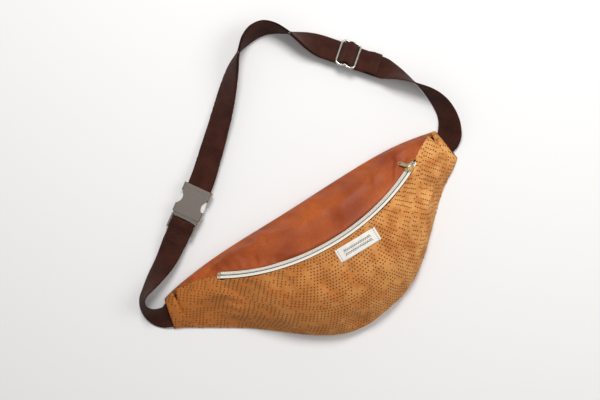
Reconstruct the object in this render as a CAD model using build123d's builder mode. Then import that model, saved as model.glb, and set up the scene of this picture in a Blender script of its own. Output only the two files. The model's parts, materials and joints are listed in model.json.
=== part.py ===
from build123d import *
from math import cos, radians, sin, sqrt, tan
import os

# Waist pack lying on its back: +X along the bag, +Y towards the belt, +Z up out of the front.
# The origin is on the back face, at the middle of the bag.

os.makedirs("parts", exist_ok=True)

# ---- Driving dimensions, millimetres and degrees --------------------------------------------
skin = 1.6                 # leather and suede
lining_thick = 0.5
lining_gap = 0.3           # between the skins and the lining
back_thick = 2.0           # padded back, flat on what the bag lies on

# Zip: a true arc in a plane that leans back, so that the slider turns about the arc's centre
zip_centre = (16.0, 167.2, -77.7)
zip_radius = 200.4
zip_lean = 37.6
zip_from = -36.0           # angles about the arc's centre, measured from its lowest point
zip_to = 33.8
slot_half_width = 4.6      # slot between the two panels
slot_reach = 9.0           # how far the slot is cut, each way from the tape
tape_thick = 0.8
coil_gap = 0.6             # half the gap between the two coils
coil_width = 1.9
coil_height = 1.4
panel_over_tape = 1.0      # the panels' outer face above the middle of the tape

# Bag sections: lower edge, upper edge, and the seam's share of the way up and its height
left_end = ((-171.0, 15.0), (-163.5, 46.5), 0.84, 5.2)
left_neck = ((-139.0, -2.5), (-134.0, 52.5), 0.86, 11.5)
right_neck = ((146.5, -0.5), (143.0, 56.0), 0.80, 18.0)
right_end = ((170.5, 16.0), (165.0, 51.5), 0.84, 5.6)
# Between the necks the seam is the zip: place along X, lower edge and upper edge
belly = (
    (-105.0, -23.5, 55.8),
    (-62.0, -56.5, 57.8),
    (-18.0, -80.5, 58.3),
    (26.0, -81.5, 59.6),
    (70.0, -67.0, 60.7),
    (112.0, -31.5, 60.0),
)
left_seam_end = (-159.0, 50.0)
right_seam_end = (160.5, 53.5)

# Zip slider, in the frame of the arc: X along the zip, Y across it, Z out of its plane
slider_at = 31.3           # the closed end
slider_length = 8.6
slider_half_width = 3.7
slider_clear = 0.4         # above the coils and under the tape
plate_thick = 1.0
crown_length = 5.4
crown_bar_radius = 0.55
crown_lift = 1.75          # crown bar above the top plate
pull_length = 12.5
pull_width = 3.8
pull_thick = 0.7
eye_radius = 1.3
eye_length = 2.4
pull_rest = 3.0            # the pull droops this far towards the leather

# Label
label_from = (12.0, -13.2)
label_to = (58.5, 0.9)
label_thick = 0.6

# Webbing
webbing_width = 25.0
webbing_thick = 1.5
layer_offset = 0.95        # from the middle of two layers of webbing to the middle of one
stub_slot = 0.15           # room round the webbing where it is sewn into the bag's ends
stub_height = 2.95         # middle of the webbing there, over the bag's back face
stub_inside = 10.0
left_stub_at = (-168.9, 29.9)
left_stub_way = (0.966, -0.262)   # into the bag
right_stub_at = (170.4, 36.4)
right_stub_way = (-0.975, -0.223)
short_loop_spread = 0.8
sewn_end = -46.0           # end of the webbing turned back and sewn, from the middle of the socket

# Buckle, in its own frame: X along the belt, away from the plug, Z out of the front
buckle_centre = (-86.4, 116.5, 8.2)
buckle_heading = 34.5
buckle_roll = -10.0
socket_length = 32.0
socket_width = 31.5
socket_height = 9.4
socket_wall = 1.2
side_wall = 2.2
mouth_end = 7.2            # end of the plug's cavity
loop_start = 8.7           # start of the webbing's cavity
rib_width = 3.6
rib_height = 0.5
window_radius = 8.0
window_depth = 5.0
bar_radius = 1.5
bar_half_length = 13.2
bar_at = 12.4
loop_end = 18.0            # where the sewn or turned webbing becomes plain runs
shoulder_from = -19.4
shoulder_to = -16.3
shoulder_height = 6.8
plug_bar_from = -25.6      # the bar that the webbing is sewn round
plug_bar_width = 2.6
plug_bar_thick = 2.4
frame_from = -33.5
end_bar = 2.4              # width of the frame's end bar, which the webbing lies on
end_bar_top = -1.95
arm_half_width = 14.9
arm_width = 1.8
arm_top = 1.6
plate_half_width = 11.0    # two plates hold the claws' pins
plate_end = -9.0
plate_from = 2.8
plate_to = 3.3
tongue_end = 4.0
tongue_half_width = 2.5
tongue_thick = 5.2
spring_bore = 1.9
window_half_length = 7.0
pin_radius = 1.0
pin_at = (-12.0, 8.5)
pin_clearance = 0.05
claw_thick = 4.4
spring_radius = 1.3
spring_wire = 0.22
spring_turns = 8

# Adjuster, in its own frame: X along the belt, Z out of the front, between the two layers
adjuster_centre = (127.0, 163.5, 7.3)
adjuster_heading = -50.0
adjuster_roll = -22.0
adjuster_pitch = 9.8       # between bars
adjuster_half_width = 14.2
wire_radius = 1.2
wire_corner = 4.2
bar_height = layer_offset + webbing_thick / 2 + 0.3 + wire_radius
hump_end = 13.0            # the webbing inside this distance of the middle goes over the bar
slip_end = 28.0            # the webbing inside this distance slips through the adjuster
tail_end = 34.0
hem_length = 9.0


def save(part, label):
    part.label = label
    export_step(part, f"parts/{label}.step")


def rolled(plane, angle):
    """The plane turned about its own X axis; a positive angle lifts its Y axis."""
    tilt = radians(angle)
    return Plane(
        origin=plane.origin,
        x_dir=plane.x_dir,
        z_dir=plane.z_dir * cos(tilt) - plane.y_dir * sin(tilt),
    )


# ---- Zip's arc ------------------------------------------------------------------------------
def zip_point(angle, over=0.0):
    """Point of the zip's arc, and that far out along the normal of its plane."""
    across = zip_radius * cos(radians(angle))
    lean = radians(zip_lean)
    return (
        zip_centre[0] + zip_radius * sin(radians(angle)),
        zip_centre[1] - across * cos(lean) + over * sin(lean),
        zip_centre[2] + across * sin(lean) + over * cos(lean),
    )


def zip_at(x):
    """Where the arc, with the panels' cover over it, crosses the plane at x."""
    along = x - zip_centre[0]
    across = sqrt(zip_radius**2 - along**2)
    lean = radians(zip_lean)
    return (
        zip_centre[1] - across * cos(lean) + panel_over_tape * sin(lean),
        zip_centre[2] + across * sin(lean) + panel_over_tape * cos(lean),
    )


zip_plane = Plane(
    origin=zip_centre,
    x_dir=(1, 0, 0),
    z_dir=(0, sin(radians(zip_lean)), cos(radians(zip_lean))),
)


# ---- Bag's outer and inner faces ------------------------------------------------------------
def stations():
    """(lower edge, upper edge, seam's distance from the lower edge, seam's height)."""
    found = []
    for lower, upper, share, height in (left_end, left_neck):
        length = Vector(*upper) - Vector(*lower)
        found.append((lower, upper, share * length.length, height))
    for x, low_y, high_y in belly:
        seam_y, seam_z = zip_at(x)
        found.append(((x, low_y), (x, high_y), seam_y - low_y, seam_z - back_thick))
    for lower, upper, share, height in (right_neck, right_end):
        length = Vector(*upper) - Vector(*lower)
        found.append((lower, upper, share * length.length, height))
    return found


def bag_form(inset):
    """The bag's rounded form over its back panel, that far inside the outer face."""
    foot = 3.0
    with BuildPart() as form:
        for lower, upper, seam, height in stations():
            across = Vector(upper[0] - lower[0], upper[1] - lower[1], 0)
            width = across.length
            top = max(height - inset, 0.5 * height)
            plane = Plane(
                origin=(lower[0], lower[1], back_thick),
                x_dir=across,
                z_dir=across.cross(Vector(0, 0, 1)),
            )
            with BuildSketch(plane):
                with BuildLine():
                    Line((inset, -foot), (inset, -0.5))
                    Spline(
                        (inset, -0.5),
                        (inset + 0.10 * seam, 0.42 * top),
                        (0.45 * seam, 0.90 * top),
                        (seam, top),
                        (0.5 * (seam + width), 0.67 * top),
                        (width - inset, -0.5),
                        tangents=[(0.1, 1), (0.35, -1)],
                    )
                    Line((width - inset, -0.5), (width - inset, -foot))
                    Line((width - inset, -foot), (inset, -foot))
                make_face()
        loft()
        split(bisect_by=Plane.XY.offset(back_thick), keep=Keep.TOP)
    return form.part


outer_form = bag_form(0)
inner_form = bag_form(skin)
lining_outer = bag_form(skin + lining_gap)
lining_inner = bag_form(skin + lining_gap + lining_thick)


def arc_band(inner, outer, start, end):
    """Face between two radii of the zip's arc, drawn on the current plane."""
    with BuildSketch(mode=Mode.PRIVATE) as band:
        with BuildLine():
            low = CenterArc((0, 0), inner, start - 90, end - start)
            high = CenterArc((0, 0), outer, start - 90, end - start)
            Line(low @ 0, high @ 0)
            Line(low @ 1, high @ 1)
        make_face()
    return band.sketch


# Everything on the belt's side of the seam
with BuildPart() as upper_side:
    with BuildSketch(Plane.XY.offset(-5)):
        with BuildLine():
            arc_points = [zip_point(angle)[:2] for angle in range(int(zip_from), int(zip_to) + 1, 10)]
            seam = Spline((-185, 49), left_seam_end, *arc_points, right_seam_end, (185, 60))
            Polyline(seam @ 1, (185, 100), (-185, 100), seam @ 0)
        make_face()
    extrude(amount=80)

# The slot that the zip fills
with BuildPart() as zip_slot:
    with BuildSketch(zip_plane.offset(-slot_reach)):
        add(arc_band(zip_radius - slot_half_width, zip_radius + slot_half_width, zip_from, zip_to))
    extrude(amount=2 * slot_reach)

# Slots where the webbing is sewn in between the panels, at both ends of the bag
with BuildPart() as stub_slots:
    for (x, y), way in ((left_stub_at, left_stub_way), (right_stub_at, right_stub_way)):
        with BuildSketch(Plane(origin=(x, y, back_thick - 1), x_dir=(*way, 0), z_dir=(0, 0, 1))):
            with Locations((stub_inside / 2, 0)):
                Rectangle(stub_inside + 8, webbing_width + 2 * stub_slot)
        extrude(amount=1 + stub_height + webbing_thick / 2 + stub_slot - back_thick)

# ---- Bag ------------------------------------------------------------------------------------
with BuildPart() as back_panel:
    add(outer_form.faces().filter_by(GeomType.PLANE).sort_by(Axis.Z)[0])
    extrude(amount=back_thick, dir=(0, 0, -1))
save(back_panel.part, "back_panel")

with BuildPart() as top_panel:
    add(outer_form)
    add(inner_form, mode=Mode.SUBTRACT)
    add(upper_side.part, mode=Mode.INTERSECT)
    add(zip_slot.part, mode=Mode.SUBTRACT)
    add(stub_slots.part, mode=Mode.SUBTRACT)
save(top_panel.part, "top_panel")

with BuildPart() as front_panel:
    add(outer_form)
    add(inner_form, mode=Mode.SUBTRACT)
    add(upper_side.part, mode=Mode.SUBTRACT)
    add(zip_slot.part, mode=Mode.SUBTRACT)
    add(stub_slots.part, mode=Mode.SUBTRACT)
save(front_panel.part, "front_panel")

with BuildPart() as lining_back:
    add(lining_outer.faces().filter_by(GeomType.PLANE).sort_by(Axis.Z)[0])
    extrude(amount=lining_thick, dir=(0, 0, 1))
    add(stub_slots.part, mode=Mode.SUBTRACT)
save(lining_back.part, "lining_back")

with BuildPart() as lining_front:
    add(lining_outer)
    add(lining_inner, mode=Mode.SUBTRACT)
    add(zip_slot.part, mode=Mode.SUBTRACT)
    split(bisect_by=Plane.XY.offset(back_thick + lining_thick), keep=Keep.TOP)
    add(stub_slots.part, mode=Mode.SUBTRACT)
save(lining_front.part, "lining_front")

# The label lies on the suede, sewn along its short ends
with BuildPart() as woven_label:
    add(bag_form(-0.1 - label_thick))
    add(bag_form(-0.1), mode=Mode.SUBTRACT)
    with BuildSketch(Plane.XY.offset(back_thick)):
        with Locations((0.5 * (label_from[0] + label_to[0]), 0.5 * (label_from[1] + label_to[1]))):
            Rectangle(label_to[0] - label_from[0], label_to[1] - label_from[1])
    extrude(amount=60, mode=Mode.INTERSECT)
save(woven_label.part, "woven_label")


# ---- Zip ------------------------------------------------------------------------------------
def zip_strip(label, inner, outer, bottom, height):
    """One long piece of the zip, between two radii and that far over the middle of the tape."""
    with BuildPart() as strip:
        with BuildSketch(zip_plane.offset(bottom)):
            add(arc_band(inner, outer, zip_from, zip_to))
        extrude(amount=height)
    save(strip.part, label)


coil_reach = coil_gap + coil_width
tape_reach = slot_half_width - 0.1
zip_strip("zip_tape_upper", zip_radius - tape_reach, zip_radius - coil_gap, -tape_thick / 2, tape_thick)
zip_strip("zip_tape_lower", zip_radius + coil_gap, zip_radius + tape_reach, -tape_thick / 2, tape_thick)
zip_strip("zip_coil_upper", zip_radius - coil_reach, zip_radius - coil_gap, tape_thick / 2, coil_height)
zip_strip("zip_coil_lower", zip_radius + coil_gap, zip_radius + coil_reach, tape_thick / 2, coil_height)


def arc_frame(angle):
    """Plane on the arc: X along the zip towards its closed end, Z out of the zip's plane."""
    return Plane(
        origin=zip_point(angle),
        x_dir=zip_plane.x_dir * cos(radians(angle)) + zip_plane.y_dir * sin(radians(angle)),
        z_dir=zip_plane.z_dir,
    )


coil_top = tape_thick / 2 + coil_height

# The closed end's stops, one on each coil, and the open end's single stop across both
top_stop_angle = zip_to - 0.5
top_stop_length = 1.6
top_stop_height = 0.5
bottom_stop_angle = zip_from + 0.7
bottom_stop_length = 2.4
bottom_stop_height = 0.6

with BuildPart() as zip_top_stops:
    with BuildSketch(arc_frame(top_stop_angle).offset(coil_top)):
        with GridLocations(0, 2 * coil_gap + coil_width, 1, 2):
            Rectangle(top_stop_length, coil_width)
    extrude(amount=top_stop_height)
save(zip_top_stops.part, "zip_top_stops")

with BuildPart() as zip_bottom_stop:
    with BuildSketch(arc_frame(bottom_stop_angle).offset(coil_top)):
        Rectangle(bottom_stop_length, 2 * coil_reach)
    extrude(amount=bottom_stop_height)
save(zip_bottom_stop.part, "zip_bottom_stop")

slider_frame = arc_frame(slider_at)
top_plate_at = coil_top + slider_clear
bottom_plate_at = -tape_thick / 2 - slider_clear - plate_thick
flange_depth = top_plate_at - tape_thick / 2 - slider_clear
flange_width = slider_half_width - coil_reach - slider_clear
crown_bar_at = top_plate_at + plate_thick + crown_lift
plate_corner = 1.6
divider_length = 2.2
divider_middle = slider_length / 2 - 1.4
post_length = 1.2
post_width = 1.5
bar_inset = 0.5

with BuildPart() as zip_slider_body:
    for height in (top_plate_at, bottom_plate_at):
        with BuildSketch(slider_frame.offset(height)):
            RectangleRounded(slider_length, 2 * slider_half_width, plate_corner)
        extrude(amount=plate_thick)
    # Flanges down both sides keep the coils in
    with BuildSketch(slider_frame.offset(top_plate_at)):
        with GridLocations(0, 2 * slider_half_width - flange_width, 1, 2):
            Rectangle(slider_length - 2 * plate_corner, flange_width)
    extrude(amount=-flange_depth)
    # The divider that parts the coils stands between them, at the slider's leading end
    with BuildSketch(slider_frame.offset(bottom_plate_at + plate_thick / 2)):
        with Locations((divider_middle, 0)):
            Rectangle(divider_length, coil_gap)
    extrude(amount=top_plate_at - bottom_plate_at)
    # Crown: two posts and a round bar along the slider, which the pull turns on
    with BuildSketch(slider_frame.offset(top_plate_at + plate_thick / 2)):
        with GridLocations(crown_length - post_length, 0, 2, 1):
            Rectangle(post_length, post_width)
    extrude(amount=plate_thick / 2 + crown_lift + crown_bar_radius)
    crown_end = Plane(
        origin=slider_frame.from_local_coords((-crown_length / 2 + bar_inset, 0, crown_bar_at)),
        x_dir=slider_frame.y_dir,
        z_dir=slider_frame.x_dir,
    )
    with BuildSketch(crown_end):
        Circle(crown_bar_radius)
    extrude(amount=crown_length - 2 * bar_inset)
save(zip_slider_body.part, "zip_slider_body")

# The pull lies across the zip, its rolled eye round the crown's bar
pull_frame = rolled(slider_frame.offset(crown_bar_at), -pull_rest)
neck_length = 3.0
neck_at = eye_radius + 0.5
blade_length = pull_length - 2.2
blade_at = pull_length / 2 + 1.6
bar_play = 0.2
grip_hole_radius = 0.9
grip_hole_inset = 1.6

with BuildPart() as zip_pull_tab:
    eye_plane = Plane(
        origin=pull_frame.from_local_coords((-eye_length / 2, 0, 0)),
        x_dir=pull_frame.y_dir,
        z_dir=pull_frame.x_dir,
    )
    with BuildSketch(eye_plane):
        Circle(eye_radius)
    extrude(amount=eye_length)
    with BuildSketch(pull_frame.offset(-pull_thick / 2)):
        with Locations((0, neck_at)):
            Rectangle(eye_length, neck_length)
        with Locations((0, blade_at)):
            SlotOverall(blade_length, pull_width, rotation=90)
    extrude(amount=pull_thick)
    with BuildSketch(eye_plane.offset(-2)):
        Circle(crown_bar_radius + bar_play)
    extrude(amount=eye_length + 4, mode=Mode.SUBTRACT)
    with BuildSketch(pull_frame.offset(-2)):
        with Locations((0, pull_length - grip_hole_inset)):
            Circle(grip_hole_radius)
    extrude(amount=4, mode=Mode.SUBTRACT)
save(zip_pull_tab.part, "zip_pull_tab")


# ---- Webbing --------------------------------------------------------------------------------
def flat_frame(at, heading, roll):
    """Plane with its X axis along the webbing and its Z axis out of the webbing's outer face."""
    along = (cos(radians(heading)), sin(radians(heading)), 0)
    return rolled(Plane(origin=at, x_dir=along, z_dir=(0, 0, 1)), roll)


def side_frame(frame):
    """The same frame turned on its side, to draw in its X and Z axes."""
    return Plane(origin=frame.origin, x_dir=frame.x_dir, z_dir=-frame.y_dir)


buckle_frame = flat_frame(buckle_centre, buckle_heading, buckle_roll)
adjuster_frame = flat_frame(adjuster_centre, adjuster_heading, adjuster_roll)


def route_point(frame, along, roll):
    """A place on a belt's route that a rigid frame fixes."""
    at = frame.from_local_coords((along, 0, 0))
    return (at.X, at.Y, at.Z, roll)


def ribbon(label, route, offsets, first_way, last_way):
    """Webbing along places (x, y, z, roll), each shifted out of its own face by its offset."""
    places = [Vector(x, y, z) for x, y, z, _ in route]
    ways = [first_way]
    for before, after in zip(places, places[2:]):
        ways.append(after - before)
    ways.append(last_way)
    with BuildPart() as belt:
        for place, way, (_, _, _, roll), offset in zip(places, ways, route, offsets):
            level = Vector(0, 0, 1).cross(way).normalized()
            out = way.normalized().cross(level)
            turn = radians(roll)
            across = level * cos(turn) + out * sin(turn)
            section = Plane(origin=place, x_dir=across, z_dir=way)
            with BuildSketch(section):
                with Locations((0, offset)):
                    Rectangle(webbing_width, webbing_thick)
        loft(ruled=True)
    save(belt.part, label)


# From the bag's left end round to the plug: out flat, up on its edge, and down again
left_stub_end = Vector(*left_stub_at) + Vector(*left_stub_way) * stub_inside
short_route = [
    (left_stub_end.X, left_stub_end.Y, stub_height, 0.0),
    (*left_stub_at, stub_height, 0.0),
    (-173.6, 32.2, 4.0, -14.0),
    (-178.4, 36.6, 8.4, -38.0),
    (-183.0, 43.4, 11.7, -58.0),
    (-184.4, 51.0, 12.8, -68.0),
    (-181.2, 57.8, 12.8, -70.0),
    (-175.2, 62.0, 12.6, -67.0),
    (-167.4, 65.8, 11.8, -57.0),
    (-159.4, 69.7, 10.6, -47.0),
    (-150.6, 74.0, 9.6, -38.0),
    (-141.6, 78.8, 9.0, -28.0),
    (-132.6, 84.6, 8.9, -18.0),
    route_point(buckle_frame, sewn_end - 0.1, buckle_roll),
]
ribbon(
    "belt_short_run",
    short_route,
    [0.0] * (len(short_route) - 1) + [short_loop_spread],
    -Vector(*left_stub_way),
    buckle_frame.x_dir,
)

# Doubled belt from the socket to the adjuster: it stands up on its edge, leans out over the
# top of the loop, and comes down again
doubled_route = [
    route_point(buckle_frame, loop_end, buckle_roll),
    (-61.5, 134.8, 8.0, -11.0),
    (-51.0, 144.4, 7.6, -14.0),
    (-35.0, 159.0, 7.8, -21.0),
    (-18.7, 174.3, 8.9, -30.0),
    (-6.0, 186.8, 10.2, -38.0),
    (5.0, 198.0, 11.6, -47.0),
    (18.0, 210.8, 13.3, -61.0),
    (27.0, 219.0, 14.3, -76.0),
    (35.6, 225.4, 14.6, -90.0),
    (45.4, 230.4, 14.2, -106.0),
    (56.2, 233.0, 13.5, -116.0),
    (67.2, 231.6, 13.5, -116.0),
    (76.6, 225.6, 14.1, -105.0),
    (84.6, 216.8, 14.7, -90.0),
    (91.4, 207.4, 13.7, -70.0),
    (97.6, 199.2, 11.5, -50.0),
    (103.4, 191.8, 9.1, -33.0),
    route_point(adjuster_frame, -slip_end, adjuster_roll),
]
loop_spread = bar_radius + 0.2 + webbing_thick / 2
spread = [loop_spread, 0.5 * (loop_spread + layer_offset)] + [layer_offset] * (len(doubled_route) - 2)
ribbon("belt_upper_run", doubled_route, spread, buckle_frame.x_dir, adjuster_frame.x_dir)
ribbon(
    "belt_lower_run",
    doubled_route,
    [-offset for offset in spread],
    buckle_frame.x_dir,
    adjuster_frame.x_dir,
)

# Single belt from the adjuster, over on its edge and round into the bag's right end
right_stub_end = Vector(*right_stub_at) + Vector(*right_stub_way) * stub_inside
right_route = [
    route_point(adjuster_frame, slip_end, adjuster_roll),
    route_point(adjuster_frame, slip_end + 10, adjuster_roll),
    (156.4, 127.4, 8.6, -38.0),
    (161.0, 120.6, 10.8, -54.0),
    (165.6, 113.4, 12.3, -68.0),
    (170.2, 105.6, 13.1, -80.0),
    (174.6, 97.4, 13.4, -93.0),
    (178.4, 89.2, 13.2, -105.0),
    (181.2, 80.6, 12.4, -116.0),
    (182.8, 71.4, 11.6, -125.0),
    (182.9, 62.0, 10.6, -132.0),
    (181.4, 53.6, 9.0, -141.0),
    (178.6, 46.4, 6.6, -153.0),
    (175.0, 40.4, 4.0, -169.0),
    (*right_stub_at, stub_height, -180.0),
    (right_stub_end.X, right_stub_end.Y, stub_height, -180.0),
]
ribbon(
    "belt_right_run",
    right_route,
    [-layer_offset, -layer_offset, -0.6, -0.3] + [0.0] * (len(right_route) - 4),
    adjuster_frame.x_dir,
    Vector(*right_stub_way),
)


def webbing_path(label, frame, *points, radii):
    """Webbing that bends in the frame's X and Z plane only."""
    with BuildPart() as belt:
        with BuildSketch(side_frame(frame)):
            with BuildLine() as path:
                FilletPolyline(*points, radius=radii)
            trace(path.line, line_width=webbing_thick)
        extrude(amount=webbing_width / 2, both=True)
    save(belt.part, label)


# Round the socket's bar, its bend towards the plug
with BuildPart() as belt_socket_loop:
    with BuildSketch(side_frame(buckle_frame)):
        with BuildLine() as path:
            Line((loop_end, loop_spread), (bar_at, loop_spread))
            bend = CenterArc((bar_at, 0), loop_spread, 90, 180)
            Line(bend @ 1, (loop_end, -loop_spread))
        trace(path.line, line_width=webbing_thick)
    extrude(amount=webbing_width / 2, both=True)
save(belt_socket_loop.part, "belt_socket_loop")

# Round the plug's bar, its two layers sewn together behind it
plug_bend_at = plug_bar_from + plug_bar_width - 0.3
plug_bend = 2.25
with BuildPart() as belt_plug_loop:
    with BuildSketch(side_frame(buckle_frame)):
        with BuildLine() as path:
            bend = CenterArc((plug_bend_at, 0), plug_bend, -90, 180)
            for side in (1, -1):
                Polyline(
                    (plug_bend_at, side * plug_bend),
                    (plug_bar_from - 1.5, side * plug_bend),
                    (frame_from + end_bar - 0.3, side * short_loop_spread),
                    (sewn_end, side * short_loop_spread),
                )
        trace(path.line, line_width=webbing_thick)
    extrude(amount=webbing_width / 2, both=True)
save(belt_plug_loop.part, "belt_plug_loop")

# Through the adjuster: up between its bars, over the middle one and down again
rise = adjuster_pitch / 2 + bar_height
for side, label in ((1, "belt_hump_upper"), (-1, "belt_hump_lower")):
    level = side * layer_offset
    foot = rise + level * tan(radians(22.5))
    webbing_path(
        label,
        adjuster_frame,
        (-hump_end, level),
        (-foot, level),
        (0, rise + level * sqrt(2)),
        (foot, level),
        (hump_end, level),
        radii=(3.3 - level, 3.4 + level, 3.3 - level),
    )

for label, start, end, level in (
    ("belt_slip_upper", -slip_end, -hump_end, layer_offset),
    ("belt_slip_lower", -slip_end, -hump_end, -layer_offset),
    ("belt_slip_right", hump_end, slip_end, -layer_offset),
):
    with BuildPart() as slip:
        with BuildSketch(adjuster_frame.offset(level - webbing_thick / 2)):
            with Locations((0.5 * (start + end), 0)):
                Rectangle(end - start, webbing_width)
        extrude(amount=webbing_thick)
    save(slip.part, label)

# The free end beyond the adjuster, its hem folded under
hem_level = layer_offset + 2 * 0.95
webbing_path(
    "belt_tail",
    adjuster_frame,
    (hump_end, layer_offset),
    (tail_end - hem_length - 5.5, layer_offset),
    (tail_end - hem_length - 1.0, hem_level),
    (tail_end - webbing_thick / 2, hem_level),
    (tail_end - webbing_thick / 2, layer_offset),
    (tail_end - hem_length, layer_offset),
    radii=(2.0, 2.0, 0.9, 0.9),
)

# ---- Buckle ---------------------------------------------------------------------------------
def buckle_across(along):
    """Plane square to the buckle's length, that far from the middle of its socket."""
    return Plane(
        origin=buckle_frame.from_local_coords((along, 0, 0)),
        x_dir=buckle_frame.y_dir,
        z_dir=buckle_frame.x_dir,
    )


cavity_height = socket_height - 2 * socket_wall

with BuildPart() as buckle_socket:
    with BuildSketch(buckle_across(-socket_length / 2)):
        RectangleRounded(socket_width, socket_height, 2.4)
    extrude(amount=socket_length)
    # Raised band round the end that the webbing goes into
    with BuildSketch(buckle_across(socket_length / 2 - rib_width)):
        RectangleRounded(socket_width, socket_height + 2 * rib_height, 2.6)
    extrude(amount=rib_width)
    # Cavities for the plug and for the webbing
    with BuildSketch(buckle_across(-socket_length / 2)):
        Rectangle(socket_width - 2 * side_wall, cavity_height)
    extrude(amount=socket_length / 2 + mouth_end, mode=Mode.SUBTRACT)
    with BuildSketch(buckle_across(loop_start)):
        Rectangle(2 * bar_half_length, cavity_height)
    extrude(amount=socket_length, mode=Mode.SUBTRACT)
    # Arched windows where the claws are pressed
    for side in (-1, 1):
        with BuildSketch(buckle_frame.offset(-socket_height)):
            with Locations((0, side * (socket_width / 2 + window_radius - window_depth))):
                Circle(window_radius)
            with Locations((0, side * socket_width / 2)):
                Rectangle(2 * window_half_length, 2 * side_wall)
        extrude(amount=2 * socket_height, mode=Mode.SUBTRACT)
save(buckle_socket.part, "buckle_socket")

with BuildPart() as buckle_bar:
    with BuildSketch(side_frame(buckle_frame)):
        with Locations((bar_at, 0)):
            Circle(bar_radius)
    extrude(amount=bar_half_length, both=True)
save(buckle_bar.part, "buckle_bar")

with BuildPart() as buckle_plug:
    # Shoulder outside the socket's mouth
    with BuildSketch(buckle_across(shoulder_from)):
        RectangleRounded(socket_width - 2.4, shoulder_height, 2.2)
    extrude(amount=shoulder_to - shoulder_from)
    # Frame: two arms and the end bar
    with BuildSketch(buckle_frame.offset(-shoulder_height / 2)):
        with Locations(((frame_from + shoulder_from) / 2 + 0.5, 0)):
            with GridLocations(0, 2 * arm_half_width - arm_width, 1, 2):
                Rectangle(shoulder_from - frame_from + 1, arm_width)
    extrude(amount=shoulder_height / 2 + arm_top)
    with BuildSketch(buckle_frame.offset(-shoulder_height / 2)):
        with Locations((frame_from + end_bar / 2, 0)):
            Rectangle(end_bar, 2 * arm_half_width)
    extrude(amount=shoulder_height / 2 + end_bar_top)
    # Bar for the webbing
    with BuildSketch(buckle_frame.offset(-plug_bar_thick / 2)):
        with Locations((plug_bar_from + plug_bar_width / 2, 0)):
            Rectangle(plug_bar_width, 2 * arm_half_width - 1)
    extrude(amount=plug_bar_thick)
    # Plates above and below the claws
    for bottom in (plate_from, -plate_to):
        with BuildSketch(buckle_frame.offset(bottom)):
            with Locations(((plate_end + shoulder_from) / 2, 0)):
                Rectangle(plate_end - shoulder_from, 2 * plate_half_width)
        extrude(amount=plate_to - plate_from)
    # Tongue between the claws, with a bore for their spring
    with BuildSketch(buckle_frame.offset(-tongue_thick / 2)):
        with Locations(((tongue_end + shoulder_from) / 2, 0)):
            Rectangle(tongue_end - shoulder_from, 2 * tongue_half_width)
    extrude(amount=tongue_thick)
    with BuildSketch(side_frame(buckle_frame)):
        Circle(spring_bore)
    extrude(amount=tongue_half_width + 1, both=True, mode=Mode.SUBTRACT)
    with BuildSketch(buckle_frame):
        with Locations((pin_at[0], pin_at[1]), (pin_at[0], -pin_at[1])):
            Circle(pin_radius + pin_clearance)
    extrude(amount=socket_height, both=True, mode=Mode.SUBTRACT)
save(buckle_plug.part, "buckle_plug")

with BuildPart() as claw_pins:
    with BuildSketch(buckle_frame):
        with Locations((pin_at[0], pin_at[1]), (pin_at[0], -pin_at[1])):
            Circle(pin_radius)
    extrude(amount=plate_to, both=True)
save(claw_pins.part, "claw_pins")

# Claws: each turns on its pin, and its head catches behind the end of the window
claw_outline = [
    (pin_at[0], 6.9),
    (-3.0, 7.8),
    (5.6, 7.8),
    (5.6, 12.4),
    (3.8, 13.7),
    (-2.6, 14.6),
    (-6.3, 14.2),
    (-6.3, 11.3),
    (pin_at[0], 10.1),
]
for side, label in ((1, "claw_left"), (-1, "claw_right")):
    with BuildPart() as claw:
        with BuildSketch(buckle_frame.offset(-claw_thick / 2)):
            with BuildLine():
                Polyline(*[(x, side * y) for x, y in claw_outline], close=True)
            make_face()
            with Locations((pin_at[0], side * pin_at[1])):
                Circle(2.0)
                Circle(pin_radius + pin_clearance, mode=Mode.SUBTRACT)
        extrude(amount=claw_thick)
    save(claw.part, label)

# Spring across the tongue, between the two claws' heads
spring_half_length = 7.8 - spring_wire - 0.1
with BuildPart() as claw_spring:
    with BuildLine() as coil:
        Helix(
            pitch=2 * spring_half_length / spring_turns,
            height=2 * spring_half_length,
            radius=spring_radius,
            center=buckle_frame.from_local_coords((0, -spring_half_length, 0)),
            direction=buckle_frame.y_dir,
        )
    with BuildSketch(Plane(origin=coil.line @ 0, z_dir=coil.line % 0)):
        Circle(spring_wire)
    sweep(path=coil.line, is_frenet=True)
save(claw_spring.part, "claw_spring")

# ---- Adjuster -------------------------------------------------------------------------------
# Three bars in one bent wire: two rounded rings that share the middle bar
with BuildPart() as adjuster_slide:
    for side in (-1, 1):
        with BuildLine(adjuster_frame.offset(bar_height)):
            ring = FilletPolyline(
                (0, adjuster_half_width),
                (side * adjuster_pitch, adjuster_half_width),
                (side * adjuster_pitch, -adjuster_half_width),
                (0, -adjuster_half_width),
                close=True,
                radius=wire_corner,
            )
        with BuildSketch(Plane(origin=ring @ 0, z_dir=ring % 0)):
            Circle(wire_radius)
        sweep(path=ring)
save(adjuster_slide.part, "adjuster_slide")
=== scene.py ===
import json
import math

import bpy
from mathutils import Matrix, Vector
from mathutils.bvhtree import BVHTree


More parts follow.
